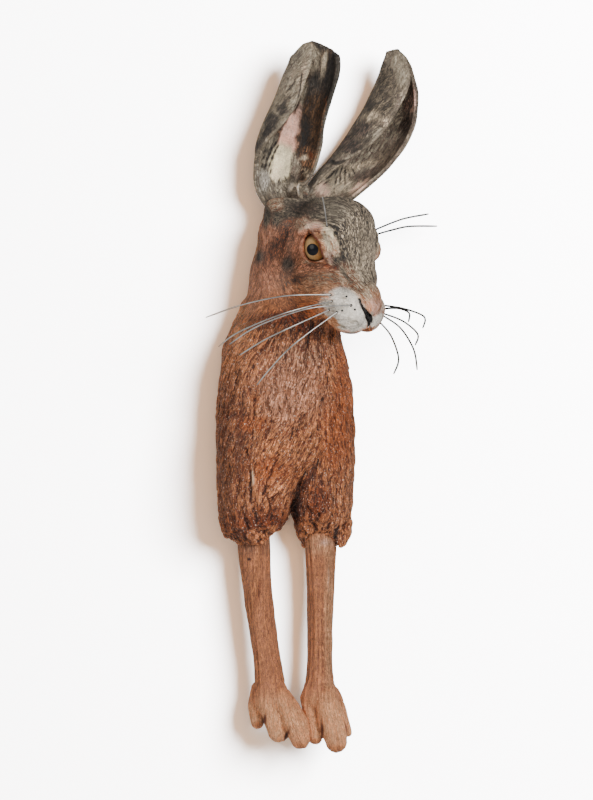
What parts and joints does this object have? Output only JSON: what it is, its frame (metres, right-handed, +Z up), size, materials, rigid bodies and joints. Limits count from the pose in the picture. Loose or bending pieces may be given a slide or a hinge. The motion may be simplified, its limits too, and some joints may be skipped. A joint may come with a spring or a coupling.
{
  "type": "wall-hung ceramic hare",
  "caption": "Hand-built ceramic hare's head and chest with two hanging forelegs, flat at the back to hang on a wall, with glazed eyes and steel wire whiskers.",
  "frame": {"origin": "on the flat back of the chest, where the clay bears on the wall", "axes": "+X to the viewer's right, +Z up, +Y into the wall; the hare faces -Y"},
  "size_m": [0.1624, 0.1003, 0.4979],
  "materials": {
    "clay": "unglazed fired clay, carved as fur and coloured with matt oxides and slips",
    "eye_glaze": "glossy amber glaze with a black pupil",
    "steel_wire": "plain grey drawn wire"
  },
  "bodies": {
    "root": {"hare": "clay", "right_eye": "eye_glaze", "left_eye": "eye_glaze", "whisker_near_1": "steel_wire", "whisker_near_2": "steel_wire", "whisker_near_3": "steel_wire", "whisker_near_4": "steel_wire", "whisker_near_5": "steel_wire", "whisker_far_1": "steel_wire", "whisker_far_2": "steel_wire", "whisker_far_3": "steel_wire", "whisker_far_4": "steel_wire", "whisker_far_5": "steel_wire", "brow_whisker_near": "steel_wire", "brow_whisker_far_1": "steel_wire", "brow_whisker_far_2": "steel_wire"}
  },
  "joints": []
}
